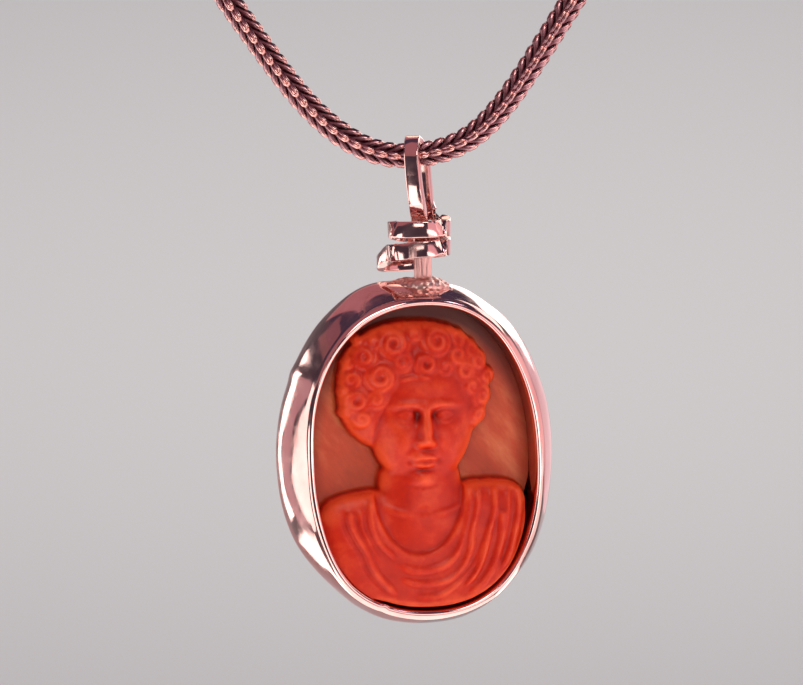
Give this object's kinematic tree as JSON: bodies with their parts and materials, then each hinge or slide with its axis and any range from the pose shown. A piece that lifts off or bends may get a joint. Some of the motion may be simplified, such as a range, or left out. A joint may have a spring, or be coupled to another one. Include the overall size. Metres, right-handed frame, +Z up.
{
  "type": "cameo pendant necklace",
  "caption": "Carved coral cameo bust in a deep hand-made oval bezel, hung by a wrapped strap-wire bail on a foxtail chain closed by a barrel clasp",
  "frame": {"origin": "middle of the wearer's neck, level with the upper part of the chain, which rises a little behind it", "axes": "+Z up, -Y front where the pendant hangs, +X to the viewer's right"},
  "size_m": [0.1236, 0.1241, 0.145],
  "materials": {
    "chain_metal": "gloss",
    "clasp_metal": "gloss",
    "setting_metal": "polished",
    "coral": "satin"
  },
  "bodies": {
    "necklace": {"chain": "chain_metal", "clasp": "clasp_metal"},
    "pendant": {"setting": "setting_metal", "cameo": "coral"}
  },
  "joints": [
    {"name": "pendant_swing", "type": "hinge", "parent": "necklace", "child": "pendant", "pos_m": [0, -0.058, -0.088], "axis": [1, 0, 0], "range_deg": [-75, 75]}
  ]
}
